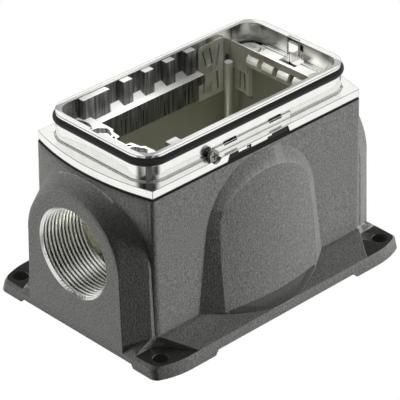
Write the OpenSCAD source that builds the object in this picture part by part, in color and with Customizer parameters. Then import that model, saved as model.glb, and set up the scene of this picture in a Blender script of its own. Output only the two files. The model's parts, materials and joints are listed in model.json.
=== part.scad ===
// Surface-mounted housing for a heavy duty rectangular connector:
// a cast base box with a side cable entry, and a bright cast frame that carries
// the sealing collar, the spring contacts and the insert bay.

/* [Mounting plate] */
// Distance between the mounting holes along the length
hole_dx = 102; // [96:1:130]
// Distance between the mounting holes across the width
hole_dy = 68; // [66:1:90]
// Diameter of the mounting holes
hole_d = 5.5; // [4:0.1:6.5]
// Material beyond the hole centre at each end
ear_end = 6; // [5:0.5:9]
// Material beyond the hole centre at each long side, at the top edge
ear_side = 5.4; // [5:0.1:9]
// Height of the ear pads above the ground
ear_h = 4.4; // [3.5:0.1:5.5]
// Radius of the plate corners
ear_r = 3; // [1:0.5:5]
// Radius of the long curve that leads into each corner
ear_sweep = 28; // [22:1:40]
// Length of that curve, measured from the end of the plate
ear_run = 13.5; // [8:0.5:16]
// Outward slope of the plate edge, at the ground
edge_flare = 1.3; // [0.5:0.1:2]
// Chamfer along the top of the plate's ends
end_chamfer = 1.4; // [0.5:0.1:2]
// Height of the four corner feet
foot_h = 1.45; // [0.8:0.05:2]
// Length of each foot, from the end of the plate
foot_l = 23.9; // [15:0.1:35]
// Length of the ramp at the inner end of each foot
foot_ramp = 1.6; // [0.5:0.1:3]
// Width of each foot, from the long edge of the plate
foot_w = 13.4; // [9:0.1:20]

/* [Base box] */
// Length of the box at its top, at the corners
body_l = 93.8; // [90:0.2:100]
// Width of the box at its top
body_w = 54.6; // [53:0.2:62]
// Height of the box above the ground
body_h = 57.5; // [54:0.1:70]
// Outward bow of the short sides
side_bow = 4.2; // [2:0.1:5]
// Draft of the walls, in degrees
draft = 1; // [0.5:0.1:1.5]
// Radius of the upright corners at the top
corner_top_r = 1.5; // [1:0.1:3]
// Radius of the upright corners at the skirt
corner_foot_r = 3.2; // [2:0.1:5]
// Height of the line where the skirt starts
skirt_z = 8.1; // [7:0.1:10]
// Thickness of the long walls at the top
wall = 2.4; // [2:0.1:3]
// Thickness of the far end wall at the top, at the corners
end_wall = 8.1; // [6:0.1:8.5]
// Radius of the cavity's upright corners
cav_r = 4; // [2:0.5:6]
// Thickness of the floor, above the feet
floor_t = 3; // [2:0.1:5]

/* [Cable entry] */
// Height of the cable entry axis
entry_z = 31; // [29:0.5:33]
// Nominal thread diameter of the cable entry
entry_d = 32; // [25:1:34]
// Pitch of the thread
entry_pitch = 1.5; // [1:0.5:2]
// Length of the threaded wall
entry_l = 18.2; // [15:0.2:19]
// Radius of the hub's flat face
hub_r = 21.7; // [20:0.1:23]
// Widening of the hub from its face to the box, per mm
hub_slope = 0.6; // [0.3:0.05:0.65]
// Extra half width of the hub's legs at the ground
hub_leg = 0.9; // [0:0.1:1.5]

/* [Side boss] */
// Radius of the boss's arch where it meets the box
boss_r = 25.5; // [20:0.1:26]
// Height of the arch's centre
boss_z = 31.6; // [28:0.1:33]
// How far the boss stands out from the box, at the skirt
boss_out = 7; // [5:0.1:8]
// Widening of the boss from its face to the box, per mm
boss_slope = 1.45; // [1:0.05:1.8]
// Extra half width of the boss at the skirt
boss_leg = 4.2; // [1:0.1:5]
// Radius of the boss's rounded front, in plan
boss_front_r = 89; // [70:1:120]
// Lean of the boss's front, in degrees
boss_lean = 6.2; // [4:0.1:7]
// Radius of the apron under the boss, in plan
apron_r = 35; // [30:1:45]

/* [Gasket] */
// Thickness of the gasket between the box and the frame
gasket_t = 0.85; // [0.4:0.05:1.2]

/* [Frame] */
// Set-back of the flange from the box's edge
flange_in = 0.35; // [0.1:0.05:0.6]
// Thickness of the flange
flange_t = 2.8; // [2.6:0.05:4.5]
// Set-back of the collar from the flange, at its ends
collar_in_x = 0.35; // [0.2:0.05:1]
// Set-back of the collar from the flange, at its long sides
collar_in_y = 3.3; // [2.5:0.1:4]
// Height of the collar above the flange
collar_h = 9.25; // [8:0.05:12]
// Radius of the collar corners
collar_r = 8; // [6:0.5:9]
// Wall of the collar
collar_wall = 2.35; // [2.2:0.05:2.8]
// Height of the raised band round the foot of the collar
band_h = 2.25; // [1.5:0.05:3]
// Height of the end floors above the flange
end_floor = 2.2; // [1.5:0.1:3]
// Height of the long ledge above the flange
ledge_up = 0.5; // [0.2:0.1:1]
// Width of the long ledge
ledge_w = 5.8; // [5:0.1:6.5]
// Length of the floor at the cable entry end
near_floor_l = 12.6; // [12:0.1:16]
// Length of the floor at the far end
far_floor_l = 8.3; // [8:0.1:9.5]
// Length of the bay for the spring contacts
chamber_l = 18.6; // [17.5:0.1:22]
// How far the liner stops short of the spring bay
liner_short = 2.9; // [1:0.1:4]
// Depth of the liner below the flange
liner_h = 5.3; // [3:0.1:7]
// Thickness of the liner
liner_t = 3.1; // [2:0.1:3.5]

/* [Lock strip] */
// Length of the recess in the flange's lower edge
lock_l = 27.4; // [24:0.1:32]
// Height of the recess between its steps
lock_h = 1.15; // [1:0.05:1.3]
// Height of its two end steps
lock_step_h = 2.4; // [2.3:0.05:2.6]
// Length of the step towards the cable entry
lock_step_a = 4.4; // [3:0.1:6]
// Length of the other step
lock_step_b = 7.8; // [5:0.1:9]
// Depth of the recess
lock_d = 1.6; // [1:0.1:1.8]
// Length of the raised band over it
band_l = 34.5; // [30:0.5:50]
// Length of the small slots in the band
band_slot_l = 5.6; // [4:0.1:7]

/* [Frame ribs] */
// Number of narrow ribs on the long wall
rib_n = 4; // [2:1:5]
// Distance from one rib to the next
rib_pitch = 9.5; // [8:0.1:10]
// Width of a narrow rib
rib_w = 4; // [3:0.1:5]
// Depth of the ribs
rib_d = 2.6; // [1.5:0.1:3]
// Length of the wide block at the end of the row
block_l = 11.6; // [8:0.1:14]

/* [Seal] */
// Height of the seal, which is round outside and flat inside
seal_d = 2.8; // [2:0.1:3]
// Depth of the seal from its centre to its flat side
seal_in = 0.9; // [0.6:0.1:1]
// How far the seal stands out of the collar
seal_out = 0.9; // [0.5:0.1:1.2]
// Height of the seal's centre under the collar's rim
seal_down = 2.3; // [1.8:0.1:3]

/* [Screws] */
// Distance of the frame screws from the inside of the collar's end
screw_in_x = 4.2; // [3.8:0.05:5.5]
// Distance of the frame screws from the inside of the collar's long side
screw_in_y = 4.55; // [4:0.05:6]
// Head diameter of the frame screws
head_d = 6.4; // [5:0.1:7]
// Radius of the sunk seat round each frame screw
seat_r = 5.2; // [3.8:0.1:5.4]
// Head height of the frame screws
head_h = 2; // [1.5:0.1:2.5]
// Shank diameter of the frame screws
shank_d = 3.8; // [3:0.1:4]
// Length of the frame screws under the head
shank_l = 16; // [10:0.5:20]
// Head diameter of the side screw
side_head_d = 4; // [3:0.1:4.2]
// Position of the side screw along the length
side_screw_x = -18.8; // [-24:0.1:-17]

/* [Spring contacts] */
// Thickness of the contact sheet
sheet_t = 0.4; // [0.3:0.05:0.5]
// Length of the side contact
side_spring_l = 11.5; // [9:0.1:13]
// Height of the side contact
side_spring_h = 20.4; // [17:0.1:21]
// Height of the end plate above the end floor
plate_up = 2.2; // [1:0.1:3]
// Height of the end plate
plate_h = 7; // [6:0.1:8]
// Height of the window in the end plate
window_h = 4; // [3:0.1:4.2]
// Width of the end plate's legs
leg_w = 7.2; // [5:0.1:8]
// How far the legs hang below the end plate
leg_h = 3; // [1:0.1:4]
// Distance from one window finger to the next
finger_pitch = 7.2; // [6.4:0.1:7.4]
// Width of a window finger
finger_w = 5; // [3:0.1:5.6]
// Width of the contact behind each end plate leg
end_spring_w = 6.8; // [5:0.1:7]
// Height of that contact
end_spring_h = 11; // [8:0.5:14]
// Diameter of the contact post
post_d = 2.8; // [2:0.1:3]

/* [Clearances] */
// Clearance between a screw and its hole
hole_clear = 0.2; // [0.1:0.05:0.3]
// Clearance round a screw head or in a slot
fit = 0.25; // [0.1:0.05:0.3]
// Gap between a sheet and its seat
seat = 0.1; // [0.05:0.05:0.25]

/* [Hidden] */
$fn = 72;
e = 0.05;

paint = "#55544f";
bare = "#d9d9d6";
sheet_colour = "#b9b7ac";
brassy = "#a89a80";
black = "#1c1c1c";

// Plate
plate_hx = hole_dx / 2 + ear_end;
plate_hy = hole_dy / 2 + ear_side;

// Box
body_hx = body_l / 2;
body_hy = body_w / 2;
rise = body_h - skirt_z;
splay = rise * tan(draft);
foot_hx = body_hx + splay;
foot_hy = body_hy + splay;
cav_floor = foot_h + floor_t;
cav_near = plate_hx - entry_l;
cav_far = body_hx - end_wall;
cav_hy = body_hy - wall;

// Frame
frame_z = body_h + gasket_t;
flange_top = frame_z + flange_t;
rim_z = flange_top + collar_h;
flange_hx = body_hx - flange_in;
flange_hy = body_hy - flange_in;
collar_hx = flange_hx - collar_in_x;
collar_hy = flange_hy - collar_in_y;
in_hx = collar_hx - collar_wall;
in_hy = collar_hy - collar_wall;
in_r = collar_r - collar_wall;
end_z = flange_top + end_floor;
ledge_z = flange_top + ledge_up;
ledge_y = in_hy - ledge_w;
near_x = -in_hx + near_floor_l;
far_x = in_hx - far_floor_l;
chamber_x = far_x - chamber_l;
liner_z = frame_z - liner_h;

// Ribs, counted back from the spring bay
rib_x = chamber_x - 2.9;
block_x = rib_x - (rib_n - 1) * rib_pitch - rib_pitch / 2 - 3.3;

// Screws
screw_x = in_hx - screw_in_x;
screw_y = in_hy - screw_in_y;
head_top = end_z - 0.3;
side_z = flange_top + 0.9;
side_seat_y = -flange_hy + 2.2;

// Springs
side_x = chamber_x + 2.5;
side_y = in_hy - 0.3;
side_top = rim_z - 1.9;
side_bottom = side_top - side_spring_h;
recess_y = side_y + sheet_t + seat;
plate_x = far_x - seat - sheet_t;
plate_top = end_z + plate_up;
plate_bottom = plate_top - plate_h;
leg_y = recess_y - seat - 0.2 - leg_w / 2;
window_y = leg_y - leg_w / 2 - 0.2;
post_x = far_x - 3.9;
post_y = in_hy - 2;
post_top = frame_z + 1.2;

function arc(c, r, a0, a1, n) =
    [for (i = [0:n]) c + r * [cos(a0 + (a1 - a0) * i / n), sin(a0 + (a1 - a0) * i / n)]];

// Radius of an arc from its half chord and its rise
function bow_r(h, s) = (h * h + s * s) / (2 * s);

// Quarter of the box outline, from the middle of the short side to the long side:
// the bowed side runs into a rounded corner
function quarter(hx, hy, bow, r) = let(
        big = bow_r(hy, bow),
        c = hx + bow - big,
        cy = hy - r,
        cx = c + sqrt((big - r) * (big - r) - cy * cy),
        a = atan2(cy, cx - c))
    concat(arc([c, 0], big, 0, a, 7), arc([cx, cy], r, a, 90, 6));

// Plate outline: straight ends, small corners and a long sweep into each long side
function swept(hx, hy, r) = let(
        sx = plate_hx - ear_run,
        dx = hx - r - sx,
        dy = sqrt((ear_sweep - r) * (ear_sweep - r) - dx * dx),
        a = atan2(dy, dx),
        q = concat(arc([hx - r, hy - ear_sweep + dy], r, 0, a, 5),
                   arc([sx, hy - ear_sweep], ear_sweep, a, 90, 5)))
    concat(q, back(flip(q, -1, 1)), flip(q, -1, -1), back(flip(q, 1, -1)));

function flip(pts, sx, sy) = [for (p = pts) [p[0] * sx, p[1] * sy]];
function back(pts) = [for (i = [len(pts) - 1:-1:0]) pts[i]];

function outline(hx, hy, bow, r) = let(q = quarter(hx, hy, bow, r))
    concat(q, back(flip(q, -1, 1)), flip(q, -1, -1), back(flip(q, 1, -1)));

// Arch with straight legs: half width r at the spring line, wider by leg at the foot
function arch(r, leg, top, foot) =
    concat([[r + leg, foot]], arc([0, top], r, 0, 180, 24), [[-r - leg, foot]]);

module rounded(hx, hy, r) {
    square([2 * (hx - r), 2 * hy], center = true);
    square([2 * hx, 2 * (hy - r)], center = true);
    for (x = [-1, 1], y = [-1, 1])
        translate([x * (hx - r), y * (hy - r)])
            circle(r);
}

// Flat outline with bowed short sides and sharp corners
module bowed(hx, hy, bow) {
    big = bow_r(hy, bow);
    intersection() {
        square([2 * (hx + bow), 2 * hy], center = true);
        translate([hx + bow - big, 0])
            circle(big, $fn = 180);
        translate([-hx - bow + big, 0])
            circle(big, $fn = 180);
    }
}

module slab(pts, z, t = 0.2) {
    translate([0, 0, z])
        linear_extrude(t)
            polygon(pts);
}

// Plan of the cavity
module cavity() {
    translate([(cav_far - cav_near) / 2, 0])
        rounded((cav_far + cav_near) / 2, cav_hy, cav_r);
}

module box(p, q) {
    translate(p)
        cube(q - p);
}

// Arch outline standing in the plane x = at, as a thin slice
module arch_x(at, r, leg, foot) {
    translate([at, 0, 0])
        rotate([90, 0, 90])
            linear_extrude(0.2, center = true)
                polygon(arch(r, leg, entry_z, foot));
}

// Arch outline standing in the plane y = at, as a thin slice
module arch_y(at, r, leg, foot) {
    translate([0, at, 0])
        rotate([90, 0, 0])
            linear_extrude(0.2, center = true)
                polygon(arch(r, leg, boss_z, foot));
}

// Plate and skirt: straight ends, rounded corners, a flared edge and the slope up to the box
module plate() {
    difference() {
        hull() {
            slab(swept(plate_hx, plate_hy + edge_flare, ear_r), 0);
            slab(swept(plate_hx, plate_hy + edge_flare * 0.25, ear_r), ear_h - 1.2);
            slab(swept(plate_hx - end_chamfer, plate_hy, ear_r), ear_h - 0.2);
            slab(outline(foot_hx, foot_hy, side_bow, corner_foot_r), skirt_z - 0.2);
        }
        for (s = [0, 180])
            rotate(s) {
                // Under the middle, between the feet
                rotate([90, 0, 0])
                    linear_extrude(2 * plate_hy + 8, center = true)
                        polygon([[-plate_hx + foot_l, -1], [-plate_hx + foot_l, 0],
                                 [-plate_hx + foot_l + foot_ramp, foot_h],
                                 [e, foot_h], [e, -1]]);
                rotate([90, 0, 90])
                    linear_extrude(2 * plate_hx + 8, center = true)
                        polygon([[-plate_hy + foot_w - edge_flare, -1],
                                 [-plate_hy + foot_w - edge_flare, 0],
                                 [-plate_hy + foot_w - edge_flare + 0.8, foot_h],
                                 [e, foot_h], [e, -1]]);
            }
    }
}

// Flat pad round a mounting hole, cut down through the skirt
module ear_cut() {
    bx = foot_hx - 0.5;
    by = foot_hy - 0.7;
    translate([0, 0, ear_h])
        linear_extrude(skirt_z - ear_h + 0.3)
            polygon(concat([[plate_hx + 5, by]],
                           back(arc([bx + 2.6, by + 5], 5, 213, 270, 8)),
                           [[bx - 7.6, plate_hy - 0.8], [bx - 9.4, plate_hy + 4],
                            [plate_hx + 5, plate_hy + 4]]));
}

// Hubs at both ends, each running into the end wall
module hubs() {
    root = max(cav_near, cav_far) + 2;
    wide = foot_hy - hub_leg - 0.5;
    knee = plate_hx - (wide - hub_r) / hub_slope;
    for (s = [0, 180])
        rotate(s) {
            translate([knee, 0, entry_z])
                rotate([0, 90, 0])
                    cylinder(r1 = wide, r2 = hub_r, h = plate_hx - knee);
            intersection() {
                translate([root, 0, entry_z])
                    rotate([0, 90, 0])
                        cylinder(r = wide, h = knee - root + e);
                box([0, -50, entry_z - 12], [80, 50, 80]);
            }
            hull() {
                leg(plate_hx - 0.1, hub_r);
                leg(knee, wide);
                leg(root, wide);
            }
        }
}

// Leg of a hub, as a thin slice in the plane x = at
module leg(at, r) {
    translate([at, 0, 0])
        rotate([90, 0, 90])
            linear_extrude(0.2, center = true)
                polygon([[r + hub_leg, 2], [r - 0.02, entry_z - 1], [-r + 0.02, entry_z - 1], [-r - hub_leg, 2]]);
}

// Round leaning body that trims the front of a boss
module boss_front(y) {
    translate([0, -y, skirt_z])
        rotate([-boss_lean, 0, 0])
            cylinder(r = boss_front_r, h = 160, center = true, $fn = 180);
}

// Arched bosses on both long sides, cut to their leaning rounded front
module bosses() {
    deep = 10;
    tip = boss_r - deep * boss_slope;
    front = foot_hy + boss_out;
    intersection() {
        hull()
            for (s = [-1, 1]) {
                arch_y(s * (body_hy - 0.37), boss_r + 0.37 * boss_slope, boss_leg, skirt_z - 0.5);
                arch_y(s * (body_hy + deep), tip, boss_leg, skirt_z - 0.5);
            }
        boss_front(front - boss_front_r);
        rotate(180)
            boss_front(front - boss_front_r);
        box([-60, -60, skirt_z - 0.5], [60, 60, body_h]);
    }
}

// Apron under the bosses, down to the edge of the plate
module aprons() {
    front = foot_hy + boss_out;
    reach = boss_out - boss_r * boss_r / (2 * boss_front_r) * 0.75;
    half = boss_r + boss_leg - (foot_hy - body_hy + reach) * boss_slope;
    hull()
        for (s = [-1, 1]) {
            slab(flip(arc([0, front - boss_front_r], boss_front_r,
                          90 - asin(half / boss_front_r),
                          90 + asin(half / boss_front_r), 16), 1, s), skirt_z);
            slab(flip(arc([0, plate_hy - apron_r], apron_r, 40, 140, 24), 1, s), ear_h);
        }
}

module base_housing() {
    minor = (entry_d - entry_pitch * 1.0825) / 2;
    color(paint)
        difference() {
            union() {
                plate();
                hull() {
                    slab(outline(foot_hx, foot_hy, side_bow, corner_foot_r), skirt_z - 0.2);
                    slab(outline(body_hx, body_hy, side_bow, corner_top_r), body_h - 0.2);
                }
                intersection() {
                    hubs();
                    box([-80, -50, foot_h], [80, 50, body_h - 0.6]);
                }
                bosses();
                aprons();
            }
            for (x = [-1, 1], y = [-1, 1])
                mirror([x < 0 ? 1 : 0, 0, 0])
                    mirror([0, y < 0 ? 1 : 0, 0])
                        ear_cut();
            // Cavity
            translate([0, 0, cav_floor])
                linear_extrude(body_h)
                    cavity();
            // Mounting holes
            for (x = [-1, 1], y = [-1, 1])
                translate([x * hole_dx / 2, y * hole_dy / 2, -1])
                    cylinder(d = hole_d, h = ear_h + 4);
            // Cable entry: core hole of the thread and its chamfered mouth
            translate([-plate_hx - 1, 0, entry_z])
                rotate([0, 90, 0])
                    cylinder(r = minor, h = entry_l + 3);
            translate([-plate_hx, 0, entry_z])
                rotate([0, 90, 0])
                    translate([0, 0, -e])
                        cylinder(r1 = entry_d / 2 + e, r2 = minor, h = entry_d / 2 - minor + 2 * e);
            // Holes for the frame screws
            for (x = [-1, 1], y = [-1, 1])
                translate([x * screw_x, y * screw_y, head_top - head_h - shank_l - 1])
                    cylinder(d = shank_d + 2 * hole_clear, h = shank_l + 20);
        }
}

module frame_gasket() {
    color(black)
        translate([0, 0, body_h])
            linear_extrude(gasket_t)
                difference() {
                    bowed(flange_hx - 0.1, flange_hy - 0.1, side_bow);
                    cavity();
                    for (x = [-1, 1], y = [-1, 1])
                        translate([x * screw_x, y * screw_y])
                            circle(d = shank_d + 2 * hole_clear);
                }
}

// Closed ring of a round cord or of a square groove, laid along the collar
module ring(hx, hy, r) {
    for (s = [0, 180])
        rotate(s) {
            translate([-hx + r, hy, 0])
                rotate([90, 0, 90])
                    linear_extrude(2 * (hx - r))
                        children();
            translate([hx, hy - r, 0])
                rotate([90, 0, 0])
                    linear_extrude(2 * (hy - r))
                        children();
            translate([hx - r, hy - r, 0])
                rotate_extrude(angle = 90)
                    translate([r, 0])
                        children();
            translate([-hx + r, hy - r, 0])
                rotate([0, 0, 90])
                    rotate_extrude(angle = 90)
                        translate([r, 0])
                            children();
        }
}

module collar_seal() {
    inset = seal_d / 2 - seal_out;
    color(black)
        translate([0, 0, rim_z - seal_down])
            ring(collar_hx - inset, collar_hy - inset, collar_r - inset)
                intersection() {
                    circle(d = seal_d);
                    translate([-seal_in, -seal_d])
                        square(2 * seal_d);
                }
}

// Inner edge of the floor at the cable entry end
function near_edge(x) = let(
        half = [[x, 11], [x - 0.2, 7.4], [x - 1.3, 6.5], [x - 1.8, 2.7], [x - 3.8, 2.3]])
    concat(half, back(flip(half, 1, -1)));

// Wedge that slopes from the wall down to the ledge
module pocket_slope(l) {
    rotate([90, 0, 90])
        linear_extrude(l)
            polygon([[in_hy - rib_d, ledge_z - 0.5], [in_hy - rib_d, ledge_z],
                     [in_hy + 0.5, ledge_z + 1.4], [in_hy + 0.5, ledge_z - 0.5]]);
}

module insert_opening() {
    polygon(concat([[far_x, ledge_y]], [[near_x, ledge_y]], near_edge(near_x),
                   [[near_x, -ledge_y], [far_x, -ledge_y]]));
    translate([chamber_x, -recess_y])
        square([chamber_l, 2 * recess_y]);
}

module bulkhead_frame() {
    inset = seal_d / 2 - seal_out;
    color(bare)
        difference() {
            union() {
                translate([0, 0, frame_z])
                    linear_extrude(flange_t)
                        bowed(flange_hx, flange_hy, side_bow);
                translate([0, 0, flange_top - 0.1])
                    linear_extrude(collar_h + 0.1)
                        rounded(collar_hx, collar_hy, collar_r);
                // Raised foot of the collar
                translate([0, 0, flange_top - 0.1])
                    linear_extrude(0.5)
                        rounded(collar_hx + 0.3, collar_hy + 0.5, collar_r + 0.3);
                // Raised band on the long side
                box([-band_l / 2, -collar_hy - 0.45, flange_top - 0.1],
                    [band_l / 2, -collar_hy + 1, flange_top + band_h]);
                // Liner that hangs into the box
                for (s = [-1, 1])
                    translate([near_x, s * (ledge_y + liner_t / 2) - liner_t / 2, liner_z])
                        cube([chamber_x - liner_short - near_x, liner_t, liner_h + 1]);
            }
            difference() {
                union() {
                    // Cup above the end floors
                    translate([0, 0, end_z])
                        linear_extrude(collar_h)
                            rounded(in_hx, in_hy, in_r);
                    // Deeper middle, down to the ledges
                    translate([0, 0, ledge_z])
                        linear_extrude(collar_h)
                            intersection() {
                                rounded(in_hx, in_hy, in_r);
                                translate([near_x, -in_hy])
                                    square([far_x - near_x, 2 * in_hy]);
                            }
                }
                // Ribs and the wide block on the far wall
                for (i = [0:rib_n - 1])
                    box([rib_x - i * rib_pitch - rib_w / 2, in_hy - rib_d, ledge_z - 1],
                        [rib_x - i * rib_pitch + rib_w / 2, in_hy + 1, rim_z - 0.2]);
                box([block_x - block_l, in_hy - rib_d, ledge_z - 1],
                    [block_x, in_hy + 1, rim_z - 0.2]);
                // Sloped floors of the pockets between the ribs
                for (i = [0:rib_n - 1])
                    translate([rib_x - i * rib_pitch - rib_pitch + rib_w / 2 - e, 0, 0])
                        pocket_slope(rib_pitch - rib_w + 2 * e);
                // Tab block on the near wall
                box([-33.3, -in_hy - 1, end_z - 1], [-28.8, -in_hy + 2.6, rim_z - 0.1]);
                // Nib beside the wide block
                box([near_x - 1, in_hy - rib_d + 0.7, ledge_z - 1],
                    [near_x + 2.9, in_hy - rib_d + 1.2, end_z + 0.2]);
                // Low strip along the foot of each short wall
                for (s = [-1, 1])
                    translate([s * (in_hx - 1.2) - 0.3, -11.6, end_z - 1])
                        cube([0.6, 25.8, 1.35]);
            }
            // Opening for the insert and the spring bay
            translate([0, 0, liner_z - 1])
                linear_extrude(end_z - liner_z + 2)
                    insert_opening();
            // Recess behind the side contact
            box([side_x - fit, in_hy - 1, liner_z - 1],
                [side_x + side_spring_l + fit, recess_y, side_top + 0.4]);
            // Dark gap beside the side contact, under the wall
            box([side_x + side_spring_l, in_hy - 1, liner_z - 1],
                [far_x - 1.5, in_hy + 0.9, ledge_z + 0.4]);
            // Upright grooves at both ends of the far wall
            for (x = [-35.6, 34.3])
                box([x, in_hy - 0.5, end_z + 1.8], [x + 1.2, in_hy + 0.5, rim_z - 0.3]);
            // Grooves down the liner
            for (i = [0:rib_n - 1])
                for (d = [-0.8, 0.8])
                    box([rib_x - i * rib_pitch - 5.5 + d - 0.3, ledge_y - 1, liner_z - 1],
                        [rib_x - i * rib_pitch - 5.5 + d + 0.3, ledge_y + 0.35, ledge_z - 2.6]);
            // Seal groove
            translate([0, 0, rim_z - seal_down])
                ring(collar_hx - inset, collar_hy - inset, collar_r - inset)
                    translate([-seal_in, -seal_d / 2])
                        square([seal_d + 2, seal_d]);
            // Frame screws: hole and counterbore
            for (x = [-1, 1], y = [-1, 1])
                translate([x * screw_x, y * screw_y, 0]) {
                    translate([0, 0, frame_z - 1])
                        cylinder(d = shank_d + 2 * hole_clear, h = 10);
                    translate([0, 0, head_top - head_h])
                        cylinder(d = head_d + 2 * fit, h = head_h + 0.3);
                    // Shallow round seat, under the walls too
                    translate([0, 0, end_z - 1.1])
                        cylinder(r = seat_r, h = 1.2);
                }
            // Pockets in the near floor, beside the end wall
            for (s = [-1, 1])
                translate([0, 0, end_z - 1.8])
                    linear_extrude(4) {
                        polygon([[-in_hx + 1.4, s * 4.9], [near_x - 4, s * 4.9], [near_x - 2.8, s * 5.4],
                                 [near_x - 1.3, s * 8.2], [near_x - 1.2, s * 9.6],
                                 [near_x - 3.3, s * 11.7], [-in_hx + 1.4, s * 11.9]]);
                        polygon([[near_x - 4.2, s * 3.9], [near_x - 2.6, s * 4.2], [near_x - 3.9, s * 2.8]]);
                    }
            // Key slot in each short wall: shallow recess, sloped mouth, side groove and floor hole
            for (s = [-1, 1])
                mirror([s < 0 ? 1 : 0, 0, 0]) {
                    box([in_hx - 1, -1.4, end_z + 0.5], [in_hx + 0.4, 3.6, rim_z - 2.1]);
                    rotate([90, 0, 0])
                        translate([0, 0, -3.6])
                            linear_extrude(5)
                                polygon([[in_hx - 1, rim_z + 1], [in_hx - 1, rim_z - 2.2],
                                         [in_hx + 0.3, rim_z - 2.2], [in_hx + 1, rim_z - 1],
                                         [in_hx + 1, rim_z + 1]]);
                    box([in_hx - 1, -3.9, end_z + 0.5], [in_hx + 1, -2.4, rim_z - 0.9]);
                    box([in_hx - 4.5, -4.2, flange_top - 1.2], [in_hx + 0.8, 3.2, end_z + 1.2]);
                }
            // Side screw: counterbore and hole
            translate([side_screw_x, side_seat_y, side_z])
                rotate([90, 0, 0]) {
                    cylinder(d = side_head_d + 2 * fit, h = 10);
                    translate([0, 0, -4])
                        cylinder(d = 2, h = 6);
                }
            // Recess of the lock strip in the lower edge of the flange
            lock_recess(0);
            // Small slots over the lock strip
            for (x = [-band_l * 0.288, band_l * 0.298])
                band_slot(x);
        }
}

// Slot over the top edge of the raised band, with a thin bar left across its mouth
module band_slot(x) {
    top = flange_top + band_h;
    l = band_slot_l / 2;
    box([x - l, -collar_hy - 0.15, top - 0.7], [x + l, -collar_hy + 1.2, top + 0.5]);
    box([x - l, -collar_hy - 1, top - 0.7], [x + l, -collar_hy, top - 0.3]);
    box([x - l, -collar_hy - 1, top], [x + l, -collar_hy, top + 0.5]);
}

// Outline of the recess in the flange's long edge, with leaning ends, steps and a small hooked
// mark; g is the gap of the strip that fills it
function lock_end(z, g) = lock_l / 2 + 0.3 - 0.375 * z - 1.07 * g;
function lock_outline(g) = let(
        low = g > 0 ? 0 : -1,
        a = -lock_l / 2 + lock_step_a,
        b = lock_l / 2 - lock_step_b,
        m = a + 5.7,
        top = lock_step_h - g)
    [[-lock_end(low, g), low], [-lock_end(top, g), top], [a - g, top], [a - g, lock_h + 0.35 - g],
     [m - 0.7 + g, lock_h + 0.35 - g], [m - 0.7 + g, top - 0.5 + 2 * g],
     [m - 1.8 + g, top - 0.5 + 2 * g], [m - 1.8 + g, top], [m - g, top], [m - g, lock_h - g],
     [b - 2 + g, lock_h - g], [b - 2 + g, lock_h + 0.65 - g], [b + g, lock_h + 0.65 - g],
     [b + g, top], [lock_end(top, g), top], [lock_end(low, g), low]];

module lock_recess(g) {
    y1 = -flange_hy + lock_d;
    translate([0, y1, frame_z])
        rotate([90, 0, 0])
            linear_extrude(lock_d + (g > 0 ? -0.35 : 1))
                polygon(lock_outline(g));
}

module lock_strip() {
    color(black)
        lock_recess(seat);
}

module frame_screws() {
    color(sheet_colour)
        for (x = [-1, 1], y = [-1, 1])
            translate([x * screw_x, y * screw_y, head_top - head_h])
                difference() {
                    union() {
                        cylinder(d = head_d, h = head_h);
                        translate([0, 0, -shank_l])
                            cylinder(d = shank_d, h = shank_l + e);
                    }
                    // Cross recess
                    for (a = [45, 135])
                        rotate(a)
                            translate([-head_d * 0.32, -0.4, head_h - 1])
                                cube([head_d * 0.64, 0.8, 2]);
                }
}

module side_screw() {
    color(sheet_colour)
        translate([side_screw_x, side_seat_y, side_z])
            rotate([90, 0, 0])
                difference() {
                    union() {
                        cylinder(d = side_head_d, h = 1.2);
                        translate([0, 0, -3])
                            cylinder(d = 1.8, h = 3 + e);
                    }
                    for (a = [0, 90])
                        rotate(a)
                            translate([-side_head_d * 0.32, -0.3, 0.5])
                                cube([side_head_d * 0.64, 0.6, 2]);
                }
}

// Spring sheet standing at the far end of the bay, with a window between its two legs
module end_plate() {
    color(sheet_colour)
        translate([plate_x, 0, 0])
            rotate([90, 0, 90])
                linear_extrude(sheet_t)
                    difference() {
                        union() {
                            translate([-recess_y + seat, plate_bottom])
                                square([2 * (recess_y - seat), plate_h]);
                            for (s = [-1, 1])
                                translate([s * leg_y - leg_w / 2, plate_bottom - leg_h])
                                    square([leg_w, plate_h]);
                        }
                        translate([-window_y, plate_bottom + 0.6])
                            square([2 * window_y, window_h]);
                    }
}

// Contact fingers that look through the window of the end plate
module window_fingers() {
    color(brassy)
        for (i = [-1.5:1.5])
            translate([plate_x, i * finger_pitch, plate_bottom + 0.7])
                rotate([90, 0, 0])
                    linear_extrude(finger_w, center = true)
                        polygon([[-1.1, window_h * 0.4], [-0.7, window_h * 0.05],
                                 [sheet_t, window_h * 0.03], [sheet_t, window_h - 0.3],
                                 [-0.2, window_h - 0.4], [-0.8, window_h * 0.65]]);
}

// Leaning slots in a sheet: each runs from its lower to its upper end, both given as parts of
// the sheet's length and height from its top left corner
module scale_slots(l, h, ends, w) {
    for (q = ends)
        polygon([[q[0] * l - w / 2, -q[1] * h], [q[0] * l + w / 2, -q[1] * h],
                 [q[2] * l + w / 2, -q[3] * h], [q[2] * l - w / 2, -q[3] * h]]);
}

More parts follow.
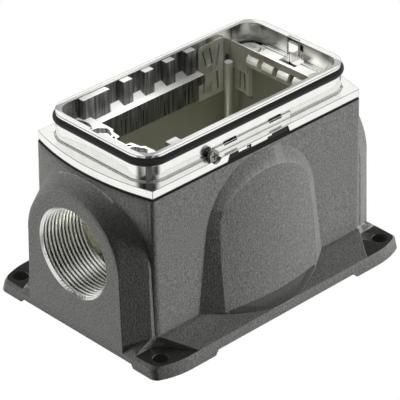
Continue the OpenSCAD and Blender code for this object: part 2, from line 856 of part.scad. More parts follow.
// Slotted contact on the long wall of the bay
module side_spring() {
    color(sheet_colour)
        translate([side_x, side_y + sheet_t, side_top])
            rotate([90, 0, 0])
                linear_extrude(sheet_t)
                    difference() {
                        union() {
                            translate([0, -side_spring_h])
                                square([side_spring_l, side_spring_h - 1]);
                            translate([1, -side_spring_h])
                                square([side_spring_l - 2, side_spring_h]);
                            for (x = [1, side_spring_l - 1])
                                translate([x, -1])
                                    circle(1);
                        }
                        // Upper fingers, then lower ones
                        scale_slots(side_spring_l, side_spring_h,
                            [[0.3, 0.39, 0.165, 0.1], [0.56, 0.4, 0.44, 0.09],
                             [0.73, 0.48, 0.845, 0.085], [0.48, 0.9, 0.52, 0.725]], 0.8);
                        scale_slots(side_spring_l, side_spring_h,
                            [[0.21, 0.89, 0.225, 0.6], [0.8, 0.92, 0.75, 0.57]], 1.3);
                    }
}

// Slotted contact on the end wall under the far floor
module end_spring() {
    color(brassy)
        translate([plate_x + 2 * sheet_t, leg_y - 0.5 - end_spring_w / 2, frame_z - seat])
            rotate([90, 0, 90])
                linear_extrude(sheet_t)
                    difference() {
                        translate([0, -end_spring_h])
                            square([end_spring_w, end_spring_h]);
                        scale_slots(end_spring_w, end_spring_h,
                            [[0.25, 0.91, 0.34, 0.22], [0.66, 0.91, 0.6, 0.22]], 0.8);
                    }
}

module spring_rivet() {
    color(sheet_colour)
        translate([side_x + side_spring_l * 0.41, side_y, side_top - side_spring_h * 0.456])
            rotate([90, 0, 0])
                cylinder(d = 2.6, h = 0.7, $fn = 32);
}

module contact_post() {
    color(sheet_colour)
        translate([post_x, post_y, cav_floor])
            cylinder(d = post_d, h = post_top - cav_floor);
}

base_housing();
frame_gasket();
bulkhead_frame();
collar_seal();
frame_screws();
side_screw();
lock_strip();
end_plate();
window_fingers();
side_spring();
end_spring();
spring_rivet();
contact_post();
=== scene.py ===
"""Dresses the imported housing: powder coat, bright frame, seal, screws, spring contacts and the thread."""
import json
import math

import bpy
from mathutils import Matrix, Vector


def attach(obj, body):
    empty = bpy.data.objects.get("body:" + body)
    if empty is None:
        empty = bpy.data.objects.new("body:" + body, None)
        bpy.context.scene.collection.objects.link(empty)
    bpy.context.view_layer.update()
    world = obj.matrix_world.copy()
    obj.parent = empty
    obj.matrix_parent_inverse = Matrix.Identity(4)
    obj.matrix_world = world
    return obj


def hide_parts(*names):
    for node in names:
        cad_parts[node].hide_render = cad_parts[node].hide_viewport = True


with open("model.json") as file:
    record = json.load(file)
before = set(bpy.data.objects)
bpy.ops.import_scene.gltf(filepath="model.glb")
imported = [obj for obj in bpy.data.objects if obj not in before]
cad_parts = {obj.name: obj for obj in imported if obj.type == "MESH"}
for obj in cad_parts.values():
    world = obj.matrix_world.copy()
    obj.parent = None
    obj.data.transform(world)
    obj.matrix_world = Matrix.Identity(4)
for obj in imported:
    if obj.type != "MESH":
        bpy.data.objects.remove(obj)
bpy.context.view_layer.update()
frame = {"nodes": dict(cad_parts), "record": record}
nodes = frame["nodes"]

# Camera: a long lens 0.89 m away, where the photograph was taken from.
# Its angles, its place and its lens were solved from the mounting holes and the corners of the frame.
yaw, pitch, roll = (math.radians(angle) for angle in (43.65, 31.23, -0.60))
lens_px, photo_px, film_mm = 2637.44, 400.0, 36.0
forward = Vector((math.sin(yaw) * math.cos(pitch), math.cos(yaw) * math.cos(pitch), -math.sin(pitch)))
level = Vector((math.cos(yaw), -math.sin(yaw), 0.0))
upward = level.cross(forward)
right = math.cos(roll) * level + math.sin(roll) * upward
top = -math.sin(roll) * level + math.cos(roll) * upward
# Where the lens sees the origin of the housing: to its right, above it and ahead of it
seen_at = Vector((0.00072, -0.02286, 0.89003))
place = -(right * seen_at.x + top * seen_at.y + forward * seen_at.z)
camera = bpy.data.objects.new("camera", bpy.data.cameras.new("camera"))
camera.matrix_world = Matrix((
    (right.x, top.x, -forward.x, place.x),
    (right.y, top.y, -forward.y, place.y),
    (right.z, top.z, -forward.z, place.z),
    (0, 0, 0, 1)))
camera.data.sensor_width = film_mm
camera.data.lens = lens_px * film_mm / photo_px
camera.data.clip_start = 0.05
camera.data.clip_end = 20.0
bpy.context.scene.collection.objects.link(camera)
bpy.context.scene.camera = camera
bpy.context.scene.view_settings.view_transform = "Standard"

# Paper sweep under the housing: matt white paper, lit by the same lamps as the housing.
# Seen directly or in metal it is plain white. Metal also sees a dark flag that lies towards the lens,
# and two small round ones beside the ends of the collar.


def linear(hex_colour):
    """An sRGB hex value as linear red, green, blue and alpha."""
    parts = [int(hex_colour[i:i + 2], 16) / 255 for i in (0, 2, 4)]
    return [c / 12.92 if c <= 0.04045 else ((c + 0.055) / 1.055) ** 2.4 for c in parts] + [1.0]


def add(tree, kind, settings=None, values=None, links=None):
    """A node in a tree, with its own settings, the values of its sockets and the links into them.

    A link starts at a socket, or at a node, whose first output in use is then taken.
    """
    node = tree.nodes.new(kind)
    for key, value in (settings or {}).items():
        setattr(node, key, value)
    for key, value in (values or {}).items():
        node.inputs[key].default_value = value
    for key, source in (links or {}).items():
        if isinstance(source, bpy.types.Node):
            source = next(output for output in source.outputs if output.enabled)
        tree.links.new(source, node.inputs[key])
    return node


def start_material(name):
    """A new material with an empty tree, and the socket that gives each place on its piece."""
    material = bpy.data.materials.new(name)
    material.use_nodes = True
    material.node_tree.nodes.clear()
    where = add(material.node_tree, "ShaderNodeTexCoord").outputs["Object"]
    return material, material.node_tree, where


# The long flag is a sector, between two distances from the origin along the line to the lens
flag_sides = (-0.95, -0.6)
flag_near_end = (-0.060, -0.095)
flag_far_end = (-0.147, -0.158)
round_flags = ((0.002, 0.125, 0), (0.152, 0.006, 0))
round_flag_rim = (0.034, 0.018)
bpy.ops.object.select_all(action="DESELECT")
bpy.ops.mesh.primitive_plane_add(size=6.0, location=(0, 0, 0))
floor = bpy.context.object
floor.name = "floor"
paper, tree, where = start_material("matt_paper")
# After the turn, -Y points at the lens and X runs across the view
turned = add(tree, "ShaderNodeMapping", values={"Rotation": (0, 0, math.radians(45))},
             links={"Vector": where})
parts = add(tree, "ShaderNodeSeparateXYZ", links={0: turned})
across = add(tree, "ShaderNodeMath", {"operation": "ABSOLUTE"}, links={0: parts.outputs["X"]})
slant = add(tree, "ShaderNodeMath", {"operation": "DIVIDE"}, links={0: across, 1: parts.outputs["Y"]})
inside = add(tree, "ShaderNodeMapRange", values={"From Min": flag_sides[0], "From Max": flag_sides[1]},
             links={"Value": slant})
nearer = add(tree, "ShaderNodeMapRange", values={"From Min": flag_near_end[0], "From Max": flag_near_end[1]},
             links={"Value": parts.outputs["Y"]})
farther = add(tree, "ShaderNodeMapRange",
              values={"From Min": flag_far_end[0], "From Max": flag_far_end[1],
                      "To Min": 1.0, "To Max": 0.25},
              links={"Value": parts.outputs["Y"]})
band = add(tree, "ShaderNodeMath", {"operation": "MULTIPLY"}, links={0: nearer, 1: farther})
flag = add(tree, "ShaderNodeMath", {"operation": "MULTIPLY"}, links={0: inside, 1: band})
for centre in round_flags:
    away = add(tree, "ShaderNodeVectorMath", {"operation": "DISTANCE"}, {1: centre}, {0: where})
    spot = add(tree, "ShaderNodeMapRange",
               values={"From Min": round_flag_rim[0], "From Max": round_flag_rim[1],
                       "To Min": 0.0, "To Max": 0.8},
               links={"Value": away})
    flag = add(tree, "ShaderNodeMath", {"operation": "MAXIMUM"}, links={0: flag, 1: spot})
ray = add(tree, "ShaderNodeLightPath")
in_metal = add(tree, "ShaderNodeMath", {"operation": "MULTIPLY"},
               links={0: flag, 1: ray.outputs["Is Glossy Ray"]})
tone = add(tree, "ShaderNodeMix", {"data_type": "RGBA"}, {"A": linear("ffffff"), "B": linear("1c1c1c")},
           {"Factor": in_metal})
matt = add(tree, "ShaderNodeBsdfDiffuse", values={"Color": linear("868686")})
bright = add(tree, "ShaderNodeEmission", values={"Strength": 1.0}, links={"Color": tone})
seen = add(tree, "ShaderNodeMath", {"operation": "MAXIMUM"},
           links={0: ray.outputs["Is Camera Ray"], 1: ray.outputs["Is Glossy Ray"]})
seen_or_through = add(tree, "ShaderNodeMath", {"operation": "MAXIMUM"},
                      links={0: seen, 1: ray.outputs["Is Transmission Ray"]})
sweep = add(tree, "ShaderNodeMixShader", links={0: seen_or_through, 1: matt, 2: bright})
add(tree, "ShaderNodeOutputMaterial", links={"Surface": sweep})
floor.data.materials.append(paper)

# Room: white where the lens or the metal looks at it, and dim as a light.
# Metal mirrors two dark gaps in it on the first bounce, and a dark side behind the lens on the second.
gap_directions = ((0.590, -0.518, 0.618), (-0.497, 0.619, 0.608))
lens_direction = (-0.690, -0.724, 0.0)
world = bpy.data.worlds.new("studio")
bpy.context.scene.world = world
world.use_nodes = True
tree = world.node_tree
tree.nodes.clear()
ray = add(tree, "ShaderNodeLightPath")
heading = add(tree, "ShaderNodeTexCoord").outputs["Generated"]
seen = add(tree, "ShaderNodeMath", {"operation": "MAXIMUM"},
           links={0: ray.outputs["Is Camera Ray"], 1: ray.outputs["Is Glossy Ray"]})
seen_or_through = add(tree, "ShaderNodeMath", {"operation": "MAXIMUM"},
                      links={0: seen, 1: ray.outputs["Is Transmission Ray"]})
towards = [add(tree, "ShaderNodeVectorMath", {"operation": "DOT_PRODUCT"}, {1: direction}, {0: heading})
           for direction in gap_directions]
nearest = add(tree, "ShaderNodeMath", {"operation": "MAXIMUM"}, links=dict(enumerate(towards)))
gap = add(tree, "ShaderNodeMapRange",
          values={"From Min": 0.86, "From Max": 0.95, "To Min": 0.0, "To Max": 0.9},
          links={"Value": nearest})
first_bounce = add(tree, "ShaderNodeMath", {"operation": "LESS_THAN"}, {1: 1.5},
                   {0: ray.outputs["Glossy Depth"]})
seen_gap = add(tree, "ShaderNodeMath", {"operation": "MULTIPLY"}, links={0: gap, 1: first_bounce})
back = add(tree, "ShaderNodeVectorMath", {"operation": "DOT_PRODUCT"}, {1: lens_direction}, {0: heading})
dark_side = add(tree, "ShaderNodeMapRange", values={"From Min": 0.45, "From Max": 0.7}, links={"Value": back})
later_bounce = add(tree, "ShaderNodeMath", {"operation": "GREATER_THAN"}, {1: 1.5},
                   {0: ray.outputs["Glossy Depth"]})
dark_back = add(tree, "ShaderNodeMath", {"operation": "MULTIPLY"}, links={0: dark_side, 1: later_bounce})
darkest = add(tree, "ShaderNodeMath", {"operation": "MAXIMUM"}, links={0: seen_gap, 1: dark_back})
in_metal = add(tree, "ShaderNodeMath", {"operation": "MULTIPLY"},
               links={0: darkest, 1: ray.outputs["Is Glossy Ray"]})
room = add(tree, "ShaderNodeMix", {"data_type": "RGBA"}, {"A": linear("ffffff"), "B": linear("141414")},
           {"Factor": in_metal})
dim = add(tree, "ShaderNodeBackground", values={"Color": linear("ffffff"), "Strength": 0.06})
white = add(tree, "ShaderNodeBackground", values={"Strength": 1.0}, links={"Color": room})
both = add(tree, "ShaderNodeMixShader", links={0: seen_or_through, 1: dim, 2: white})
add(tree, "ShaderNodeOutputWorld", links={"Surface": both})

# Lamps: two low soft boxes far round on the left and one on the right, so that both walls are grazed and
# the corner between them is dark, and two small snoots over the opening, which light the inside.
# Metal mirrors the room only, not the lamps.
aim_height = 0.03
snoot_spread = math.radians(7)
for name, spot, wide, tall, watts in (
        ("left_box", (-0.80, 0.89, 0.10), 0.5, 0.16, 10.0),
        ("wide_box", (-0.98, 0.69, 0.10), 0.5, 0.16, 3.2),
        ("right_box", (0.92, -0.77, 0.10), 0.5, 0.16, 18.6),
        ("snoot_near", (-0.018, 0.0, 0.50), 0.03, 0.015, 0.018),
        ("snoot_far", (0.034, 0.0, 0.50), 0.03, 0.015, 0.0065)):
    points_down = name.startswith("snoot")
    lamp = bpy.data.lights.new(name, "AREA")
    lamp.shape = "RECTANGLE"
    lamp.size = wide
    lamp.size_y = tall
    lamp.energy = watts
    if points_down:
        lamp.spread = snoot_spread
    holder = bpy.data.objects.new(name, lamp)
    holder.location = spot
    aim = Vector((spot[0] if points_down else 0.0, 0, aim_height))
    holder.rotation_euler = (aim - Vector(spot)).to_track_quat("-Z", "Y").to_euler()
    holder.visible_glossy = False
    bpy.context.scene.collection.objects.link(holder)

# Base housing: one aluminium die casting, coated outside with fine textured polyester powder.
# This copy of it is opened round the cable entry into a groove, in which the threaded wall sits.
# The flat walls keep their own direction, and only the rounded strips between them are blended.
entry = next(mount for mount in frame["record"]["mounts"] if mount["name"] == "cable_entry")
core = entry["dims"]["r_mm"] / 1000
axis_z = entry["pos_m"][2]
# Where the threaded wall starts and ends along the bore, and where the hub gives way to the cavity
mouth, wall_end, hub_end = -0.05615, -0.0396, -0.0385
# The groove's radius as a share of the core's, and the bore's own limits with a little slack
groove_share = 1.115
bore_r_from, bore_r_to = core - 2e-5, 0.01603
# Corners closer than this are one
merged = 2e-6
bpy.ops.object.select_all(action="DESELECT")
casting = nodes["base_housing"].copy()
casting.data = nodes["base_housing"].data.copy()
casting.name = "coated_casting"
casting.parent = None
for key in list(casting.keys()):
    del casting[key]
bpy.context.scene.collection.objects.link(casting)
casting.select_set(True)
bpy.context.view_layer.objects.active = casting
bpy.ops.object.mode_set(mode="EDIT")
bpy.ops.mesh.select_all(action="SELECT")
bpy.ops.mesh.remove_doubles(threshold=merged)


def select_bore(start, end):
    """Selects the faces of the bore and its mouth whose centres lie between two places along it."""
    bpy.ops.object.mode_set(mode="OBJECT")
    mesh = casting.data
    for item in list(mesh.vertices) + list(mesh.edges):
        item.select = False
    for face in mesh.polygons:
        rims = [math.hypot(mesh.vertices[i].co.y, mesh.vertices[i].co.z - axis_z) for i in face.vertices]
        in_bore = max(rims) < bore_r_to and min(rims) > bore_r_from
        face.select = in_bore and start < face.center.x < end and abs(face.normal.x) < 0.9
    bpy.ops.object.mode_set(mode="EDIT")
    bpy.ops.mesh.select_mode(type="FACE")


for cut in (mouth, wall_end):
    select_bore(-0.06, hub_end)
    bpy.ops.mesh.bisect(plane_co=(cut, 0, axis_z), plane_no=(1, 0, 0))
select_bore(mouth, wall_end)
bpy.ops.mesh.extrude_region()
bpy.ops.transform.resize(value=(1, groove_share, groove_share), center_override=(0, 0, axis_z))
bpy.ops.object.mode_set(mode="OBJECT")
bpy.ops.object.shade_smooth_by_angle(angle=math.radians(7))
weigh = casting.modifiers.new("weigh", "WEIGHTED_NORMAL")
weigh.weight = 50
weigh.keep_sharp = True
bpy.ops.object.modifier_apply(modifier="weigh")


def from_entry_axis(tree, part):
    """Distance of each place from the axis of the cable entry."""
    up = add(tree, "ShaderNodeMath", {"operation": "SUBTRACT"}, {1: axis_z}, {0: part.outputs["Z"]})
    off_axis = add(tree, "ShaderNodeCombineXYZ", links={"Y": part.outputs["Y"], "Z": up})
    return add(tree, "ShaderNodeVectorMath", {"operation": "LENGTH"}, links={0: off_axis})


def edge_mask(tree, rounded, start, end, strongest=1.0):
    """How much a place lies on an edge: there the rounded normal leans away from the face's own."""
    face = add(tree, "ShaderNodeNewGeometry").outputs["True Normal"]
    lean = add(tree, "ShaderNodeVectorMath", {"operation": "DOT_PRODUCT"}, links={0: rounded, 1: face})
    return add(tree, "ShaderNodeMapRange",
               values={"From Min": start, "From Max": end, "To Min": 0.0, "To Max": strongest},
               links={"Value": lean})


def all_of(tree, *tests):
    """1 where every test holds. A test is a value, LESS_THAN or GREATER_THAN, and the limit."""
    held = None
    for value, kind, limit in tests:
        test = add(tree, "ShaderNodeMath", {"operation": kind}, {1: limit}, {0: value})
        if held:
            test = add(tree, "ShaderNodeMath", {"operation": "MULTIPLY"}, links={0: held, 1: test})
        held = test
    return held


def dress(pieces, material):
    """Gives each piece one material in place of those it has."""
    for piece in pieces:
        piece.data.materials.clear()
        piece.data.materials.append(material)


# Polyester powder, baked to a fine wrinkle: matt and even, with a painted highlight that makes each edge
# lighter
coat, tree, where = start_material("textured_polyester_powder_coat")
# Wrinkles of a 0.6 mm pitch, drawn a little coarser than on the real coat so that they show
grain = add(tree, "ShaderNodeTexNoise", values={"Scale": 1700.0, "Detail": 2.0, "Roughness": 0.6},
            links={"Vector": where})
speck = add(tree, "ShaderNodeMapRange", values={"From Min": 0.3, "From Max": 0.7}, links={"Value": grain})
paint = add(tree, "ShaderNodeMix", {"data_type": "RGBA"}, {"A": linear("626260"), "B": linear("8c8c89")},
            {"Factor": speck})
part = add(tree, "ShaderNodeSeparateXYZ", links={0: where})
along, width, height = (part.outputs[axis] for axis in "XYZ")
along_size = add(tree, "ShaderNodeMath", {"operation": "ABSOLUTE"}, links={0: along})
width_size = add(tree, "ShaderNodeMath", {"operation": "ABSOLUTE"}, links={0: width})
radius = from_entry_axis(tree, part)
face = add(tree, "ShaderNodeNewGeometry").outputs["True Normal"]
facing = add(tree, "ShaderNodeSeparateXYZ", links={0: face})
at_entry = all_of(tree, (along, "LESS_THAN", hub_end))
# The coat rounds every edge of the casting, but is masked off sharp round the mouth
near_mouth = add(tree, "ShaderNodeMapRange",
                 values={"From Min": 0.0192, "From Max": 0.0206, "To Min": 0.94, "To Max": 0.0},
                 links={"Value": radius})
sharp = add(tree, "ShaderNodeMath", {"operation": "MULTIPLY"}, links={0: near_mouth, 1: at_entry})
rounding = add(tree, "ShaderNodeMapRange",
               values={"From Min": 0.0, "From Max": 1.0, "To Min": 0.0005, "To Max": 0.0},
               links={"Value": sharp})
# The upper rim of the hub is blended wide into its cone
rim_blend = add(tree, "ShaderNodeMapRange",
                values={"From Min": 0.031, "From Max": 0.046, "To Min": 0.0, "To Max": 0.0045},
                links={"Value": height})
on_rim = all_of(tree, (along, "LESS_THAN", -0.0475), (radius, "GREATER_THAN", 0.0196))
blend = add(tree, "ShaderNodeMath", {"operation": "MULTIPLY"}, links={0: rim_blend, 1: on_rim})
edge_radius = add(tree, "ShaderNodeMath", {"operation": "ADD"}, links={0: rounding, 1: blend})
round_edge = add(tree, "ShaderNodeBevel", {"samples": 6}, links={"Radius": edge_radius})
edge_line = add(tree, "ShaderNodeBevel", {"samples": 8}, {"Radius": 0.0004})
edge = edge_mask(tree, edge_line, 0.98, 0.9, 0.5)
# Painted shade: the coat is darker in the corners and under the flange
shelter = add(tree, "ShaderNodeAmbientOcclusion", {"samples": 6}, {"Distance": 0.007})
painted_corner_shade = add(tree, "ShaderNodeMapRange",
            values={"From Min": 0.35, "From Max": 0.95, "To Min": 0.45, "To Max": 0.0},
            links={"Value": shelter.outputs["AO"]})
corner_shaded_paint = add(tree, "ShaderNodeMix", {"data_type": "RGBA"}, {"B": linear("2c2c2b")},
            {"Factor": painted_corner_shade, "A": paint})
# Painted highlight: the edges are made lighter
painted_edge_highlight = add(tree, "ShaderNodeMix", {"data_type": "RGBA"}, {"B": linear("b0b0ad")},
           {"Factor": edge, "A": corner_shaded_paint})
# The flat seats of the mounting screws, facing up low on the casting, are darker
seat = all_of(tree, (facing.outputs["Z"], "GREATER_THAN", 0.985), (height, "LESS_THAN", 0.0052))
darker_seats = add(tree, "ShaderNodeMix", {"data_type": "RGBA"}, {"B": linear("4a4a49")},
              {"Factor": seat, "A": painted_edge_highlight})
# Painted shade on the steep faces under the foot of each boss
under_boss = all_of(tree, (height, "GREATER_THAN", 0.0046), (height, "LESS_THAN", 0.0079),
                    (along_size, "LESS_THAN", 0.0235), (width_size, "GREATER_THAN", 0.0335),
                    (facing.outputs["Z"], "LESS_THAN", 0.80))
painted_shade_under_boss = add(tree, "ShaderNodeMath", {"operation": "MULTIPLY"}, {1: 0.8}, {0: under_boss})
shaded_coat = add(tree, "ShaderNodeMix", {"data_type": "RGBA"}, {"B": linear("3a3a39")},
             {"Factor": painted_shade_under_boss, "A": darker_seats})
wrinkle = add(tree, "ShaderNodeBump", values={"Strength": 0.6, "Distance": 0.0003},
              links={"Height": grain, "Normal": round_edge})
skin = add(tree, "ShaderNodeBsdfPrincipled",
           values={"Roughness": 0.62, "IOR": 1.5, "Specular IOR Level": 0.12},
           links={"Base Color": shaded_coat, "Normal": wrinkle})
# The inside is chromated, greenish and dull, and the wall of the bore is cut bare. Both are told from the
# coat by their place in the casting
cavity = all_of(tree, (along_size, "LESS_THAN", 0.03885), (width_size, "LESS_THAN", 0.02495),
                (height, "GREATER_THAN", 0.00435))
shade = add(tree, "ShaderNodeTexNoise", values={"Scale": 45.0, "Detail": 3.0}, links={"Vector": where})
chromate = add(tree, "ShaderNodeMix", {"data_type": "RGBA"}, {"A": linear("a8a899"), "B": linear("bcbcaf")},
               {"Factor": shade})
inner = add(tree, "ShaderNodeBsdfPrincipled", values={"Roughness": 0.6}, links={"Base Color": chromate})
cut_wall = all_of(tree, (radius, "LESS_THAN", 0.01601), (along, "LESS_THAN", hub_end))
bare = add(tree, "ShaderNodeBsdfPrincipled",
           values={"Base Color": linear("e2e2de"), "Roughness": 0.3, "Metallic": 1.0})
in_or_out = add(tree, "ShaderNodeMixShader", links={0: cavity, 1: skin, 2: inner})
all_faces = add(tree, "ShaderNodeMixShader", links={0: cut_wall, 1: in_or_out, 2: bare})
add(tree, "ShaderNodeOutputMaterial", links={"Surface": all_faces})
dress([casting], coat)
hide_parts("base_housing")
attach(casting, "root")

# Threaded wall of the cable entry: M32 by 1.5, cut in the bare aluminium after coating.
# One turn of the 60 degree profile is run up the bore as a screw, from just behind the chamfer.
pitch_x = 0.0015
depth = 0.000812
flank = depth * math.tan(math.radians(30))
root_width = pitch_x / 8
profile = [(0, core), (pitch_x / 4, core), (pitch_x / 4 + flank, core + depth),
           (pitch_x / 4 + root_width + flank, core + depth), (pitch_x, core)]
bpy.ops.object.select_all(action="DESELECT")
bpy.ops.mesh.primitive_circle_add(vertices=len(profile), radius=core, fill_type="NOTHING",
                                  location=(0, 0, axis_z))
thread = bpy.context.object
thread.name = "threaded_wall"
for vertex, (x, r) in zip(thread.data.vertices, profile):
    vertex.co = (mouth - 2 * pitch_x + x, 0, r)
# The circle is opened between its last point and its first
bpy.ops.object.mode_set(mode="EDIT")
bpy.ops.mesh.select_mode(type="EDGE")
bpy.ops.mesh.select_all(action="DESELECT")
bpy.ops.object.mode_set(mode="OBJECT")
for edge_item in thread.data.edges:
    edge_item.select = set(edge_item.vertices) == {0, len(profile) - 1}
bpy.ops.object.mode_set(mode="EDIT")
bpy.ops.mesh.delete(type="EDGE_FACE")
bpy.ops.object.mode_set(mode="OBJECT")
turns = thread.modifiers.new("turns", "SCREW")
turns.axis = "X"
turns.screw_offset = pitch_x
turns.iterations = 15
turns.steps = turns.render_steps = 96
turns.use_merge_vertices = True
turns.merge_threshold = 1e-6
bpy.ops.object.modifier_apply(modifier="turns")
bpy.ops.object.mode_set(mode="EDIT")
bpy.ops.mesh.select_all(action="SELECT")
bpy.ops.mesh.remove_doubles(threshold=merged)
bpy.ops.mesh.bisect(plane_co=(mouth, 0, 0), plane_no=(1, 0, 0), clear_inner=True)
bpy.ops.mesh.select_all(action="SELECT")
bpy.ops.mesh.bisect(plane_co=(wall_end, 0, 0), plane_no=(1, 0, 0), clear_outer=True)
bpy.ops.object.mode_set(mode="OBJECT")
middle_face = thread.data.polygons[len(thread.data.polygons) // 2]
if middle_face.normal.dot(Vector((0, middle_face.center.y, middle_face.center.z))) > 0:
    bpy.ops.object.mode_set(mode="EDIT")
    bpy.ops.mesh.select_all(action="SELECT")
    bpy.ops.mesh.flip_normals()
    bpy.ops.object.mode_set(mode="OBJECT")
shell = thread.modifiers.new("shell", "SOLIDIFY")
shell.thickness = 0.0007
shell.offset = -1.0
bpy.ops.object.modifier_apply(modifier="shell")
bpy.ops.object.transform_apply(location=True, rotation=True, scale=True)
bpy.ops.object.shade_smooth_by_angle(angle=math.radians(25))

# Cast aluminium, cut with a tap: bright and a little torn, with painted shade in the roots of the turns
cut_metal, tree, where = start_material("cut_cast_aluminium")
torn = add(tree, "ShaderNodeTexNoise", values={"Scale": 700.0, "Detail": 2.0}, links={"Vector": where})
chatter = add(tree, "ShaderNodeBump", values={"Strength": 0.2, "Distance": 0.0001}, links={"Height": torn})
radius = from_entry_axis(tree, add(tree, "ShaderNodeSeparateXYZ", links={0: where}))
# Painted shade: darker towards the roots of the turns
deep = add(tree, "ShaderNodeMapRange", values={"From Min": core + 0.00022, "From Max": core + 0.00072},
           links={"Value": radius})
root_shaded_metal = add(tree, "ShaderNodeMix", {"data_type": "RGBA"}, {"A": linear("fafaf6"), "B": linear("4c4c49")},
            {"Factor": deep})
blur = add(tree, "ShaderNodeMapRange",
           values={"From Min": 0.0, "From Max": 1.0, "To Min": 0.2, "To Max": 0.4},
           links={"Value": torn})
turned_metal = add(tree, "ShaderNodeBsdfPrincipled", values={"Metallic": 0.9},
                   links={"Base Color": root_shaded_metal, "Roughness": blur, "Normal": chatter})
add(tree, "ShaderNodeOutputMaterial", links={"Surface": turned_metal})
dress([thread], cut_metal)
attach(thread, "root")

# Frame: cast aluminium, tumbled bright, pressed onto the gasket and held by four screws.
# It mirrors the white room softly. Painted shade draws a grey line along every edge and fills narrow slots
# with black.
# Upright faces between the ribs are left as cast, dull and drawn upwards by the die.
cast_bright, tree, where = start_material("tumbled_cast_aluminium")
cast = add(tree, "ShaderNodeTexNoise", values={"Scale": 260.0, "Detail": 3.0}, links={"Vector": where})
round_edge = add(tree, "ShaderNodeBevel", {"samples": 6}, {"Radius": 0.0003})
soft = add(tree, "ShaderNodeBump", values={"Strength": 0.06, "Distance": 0.0003},
           links={"Height": cast, "Normal": round_edge})
sheen = add(tree, "ShaderNodeMix", {"data_type": "RGBA"}, {"A": linear("ededea"), "B": linear("fbfbf8")},
            {"Factor": cast})
thin_edge = add(tree, "ShaderNodeBevel", {"samples": 8}, {"Radius": 0.0005})
edge = edge_mask(tree, thin_edge, 0.985, 0.8)
# Painted shade: a grey line along every edge
edge_shaded_metal = add(tree, "ShaderNodeMix", {"data_type": "RGBA"}, {"B": linear("5c5c5a")},
            {"Factor": edge, "A": sheen})
# Painted shade: black in narrow slots
shelter = add(tree, "ShaderNodeAmbientOcclusion", {"samples": 16}, {"Distance": 0.0022})
painted_slot_shade = add(tree, "ShaderNodeMapRange",
            values={"From Min": 0.27, "From Max": 0.43, "To Min": 0.95, "To Max": 0.0},
            links={"Value": shelter.outputs["AO"]})
slot_shaded_metal = add(tree, "ShaderNodeMix", {"data_type": "RGBA"}, {"B": linear("161616")},
              {"Factor": painted_slot_shade, "A": edge_shaded_metal})
metal = add(tree, "ShaderNodeBsdfPrincipled", values={"Metallic": 1.0, "Roughness": 0.16},
            links={"Base Color": slot_shaded_metal, "Normal": soft})
part = add(tree, "ShaderNodeSeparateXYZ", links={0: where})
along_size = add(tree, "ShaderNodeMath", {"operation": "ABSOLUTE"}, links={0: part.outputs["X"]})
width_size = add(tree, "ShaderNodeMath", {"operation": "ABSOLUTE"}, links={0: part.outputs["Y"]})
face = add(tree, "ShaderNodeNewGeometry").outputs["True Normal"]
facing = add(tree, "ShaderNodeSeparateXYZ", links={0: face})
tilt = add(tree, "ShaderNodeMath", {"operation": "ABSOLUTE"}, links={0: facing.outputs["Z"]})
in_collar = ((along_size, "LESS_THAN", 0.0440), (width_size, "LESS_THAN", 0.0225))
inner_wall = all_of(tree, *in_collar, (tilt, "LESS_THAN", 0.4))
rib_wall = all_of(tree, *in_collar, (tilt, "LESS_THAN", 0.4), (part.outputs["X"], "LESS_THAN", 0.0262))
ledge = all_of(tree, *in_collar, (facing.outputs["Z"], "GREATER_THAN", 0.4))
# Streaks of a 1 mm pitch across and 14 mm along, from the draw of the die
drawn = add(tree, "ShaderNodeMapping", values={"Scale": (1100.0, 1100.0, 70.0)}, links={"Vector": where})
streak = add(tree, "ShaderNodeTexNoise", values={"Scale": 1.0, "Detail": 3.0}, links={"Vector": drawn})
contrast = add(tree, "ShaderNodeMapRange", values={"From Min": 0.35, "From Max": 0.68},
               links={"Value": streak})
as_cast = add(tree, "ShaderNodeMix", {"data_type": "RGBA"}, {"A": linear("464645"), "B": linear("969693")},
              {"Factor": contrast})
dull = add(tree, "ShaderNodeBsdfPrincipled", values={"Metallic": 0.35, "Roughness": 0.5},
           links={"Base Color": as_cast})
# The far end is polished by the mating plug, in patches
patch = add(tree, "ShaderNodeTexNoise", values={"Scale": 85.0, "Detail": 1.0}, links={"Vector": where})
patchy = add(tree, "ShaderNodeMapRange", values={"From Min": 0.38, "From Max": 0.62}, links={"Value": patch})
polish = add(tree, "ShaderNodeMix", {"data_type": "RGBA"}, {"A": linear("6c6c6a"), "B": linear("f4f4f0")},
             {"Factor": patchy})
far_wall = add(tree, "ShaderNodeBsdfPrincipled", values={"Metallic": 1.0, "Roughness": 0.2},
               links={"Base Color": polish, "Normal": round_edge})
# The floors and ledges in the collar are as cast too, pale and matt, with painted shade along their edges
edge_shaded_floor = add(tree, "ShaderNodeMix", {"data_type": "RGBA"}, {"A": linear("e2e2de"), "B": linear("6a6a68")},
                 {"Factor": edge})
matt_floor = add(tree, "ShaderNodeBsdfPrincipled", values={"Metallic": 0.2, "Roughness": 0.4},
                 links={"Base Color": edge_shaded_floor, "Normal": soft})
walls = add(tree, "ShaderNodeMixShader", links={0: inner_wall, 1: metal, 2: far_wall})
all_walls = add(tree, "ShaderNodeMixShader", links={0: rib_wall, 1: walls, 2: dull})
all_faces = add(tree, "ShaderNodeMixShader", links={0: ledge, 1: all_walls, 2: matt_floor})
add(tree, "ShaderNodeOutputMaterial", links={"Surface": all_faces})
dress([nodes["bulkhead_frame"]], cast_bright)

# Seal, gasket and lock strip: black nitrile rubber, moulded.
# It is dull and even, with a faint sheen from the mould.
rubber, tree, where = start_material("nitrile_rubber")
dust = add(tree, "ShaderNodeTexNoise", values={"Scale": 500.0, "Detail": 3.0}, links={"Vector": where})
pores = add(tree, "ShaderNodeBump", values={"Strength": 0.15, "Distance": 0.0001}, links={"Height": dust})
elastic = add(tree, "ShaderNodeBsdfPrincipled",
              values={"Base Color": linear("161617"), "Roughness": 0.55, "Specular IOR Level": 0.3},
              links={"Normal": pores})
add(tree, "ShaderNodeOutputMaterial", links={"Surface": elastic})
dress([nodes[name] for name in ("collar_seal", "frame_gasket", "lock_strip")], rubber)

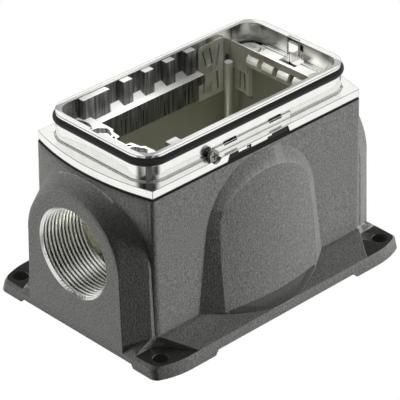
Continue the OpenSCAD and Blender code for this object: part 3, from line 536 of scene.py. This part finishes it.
# Frame screws, rivet and post: zinc-plated steel, turned and cold-headed.
# The film is hazy in places, so it mirrors the room with an uneven blur.
zinc, tree, where = start_material("zinc_plated_steel")
film = add(tree, "ShaderNodeTexNoise", values={"Scale": 300.0, "Detail": 2.0}, links={"Vector": where})
haze = add(tree, "ShaderNodeMapRange",
           values={"From Min": 0.0, "From Max": 1.0, "To Min": 0.22, "To Max": 0.42},
           links={"Value": film})
steel = add(tree, "ShaderNodeBsdfPrincipled", values={"Base Color": linear("e8e9e6"), "Metallic": 0.5},
            links={"Roughness": haze})
add(tree, "ShaderNodeOutputMaterial", links={"Surface": steel})
dress([nodes[name] for name in ("frame_screws", "spring_rivet", "contact_post")], zinc)

# Side screw: steel, phosphated grey, driven into the band beside the lock strip.
# The grey film is painted lighter on its edges, a painted highlight.
grey_film, tree, where = start_material("phosphated_steel")
round_edge = add(tree, "ShaderNodeBevel", {"samples": 6}, {"Radius": 0.0002})
edge_highlight_film = add(tree, "ShaderNodeMix", {"data_type": "RGBA"}, {"A": linear("8e8e8b"), "B": linear("f0f0ec")},
             {"Factor": edge_mask(tree, round_edge, 0.98, 0.8)})
grey_steel = add(tree, "ShaderNodeBsdfPrincipled", values={"Metallic": 0.8, "Roughness": 0.35},
                 links={"Base Color": edge_highlight_film, "Normal": round_edge})
add(tree, "ShaderNodeOutputMaterial", links={"Surface": grey_steel})
dress([nodes["side_screw"]], grey_film)

# Spring contacts: sheet of spring bronze, stamped and tinned.
# The tin is warm and faintly mottled, and the stamped edges are painted lighter, a painted highlight.
tin, tree, where = start_material("tinned_spring_bronze")
stain = add(tree, "ShaderNodeTexNoise", values={"Scale": 150.0, "Detail": 2.0}, links={"Vector": where})
mottle = add(tree, "ShaderNodeMapRange", values={"From Min": 0.36, "From Max": 0.6}, links={"Value": stain})
tinned = add(tree, "ShaderNodeMix", {"data_type": "RGBA"}, {"A": linear("e2dfd0"), "B": linear("fffdf6")},
             {"Factor": mottle})
round_edge = add(tree, "ShaderNodeBevel", {"samples": 6}, {"Radius": 0.0003})
edge = edge_mask(tree, round_edge, 0.98, 0.8)
edge_highlight_tin = add(tree, "ShaderNodeMix", {"data_type": "RGBA"}, {"B": linear("f6f5ee")},
               {"Factor": edge, "A": tinned})
sheet = add(tree, "ShaderNodeBsdfPrincipled", values={"Metallic": 0.2, "Roughness": 0.35},
            links={"Base Color": edge_highlight_tin})
add(tree, "ShaderNodeOutputMaterial", links={"Surface": sheet})
dress([nodes[name] for name in ("end_plate", "side_spring", "window_fingers", "end_spring")], tin)
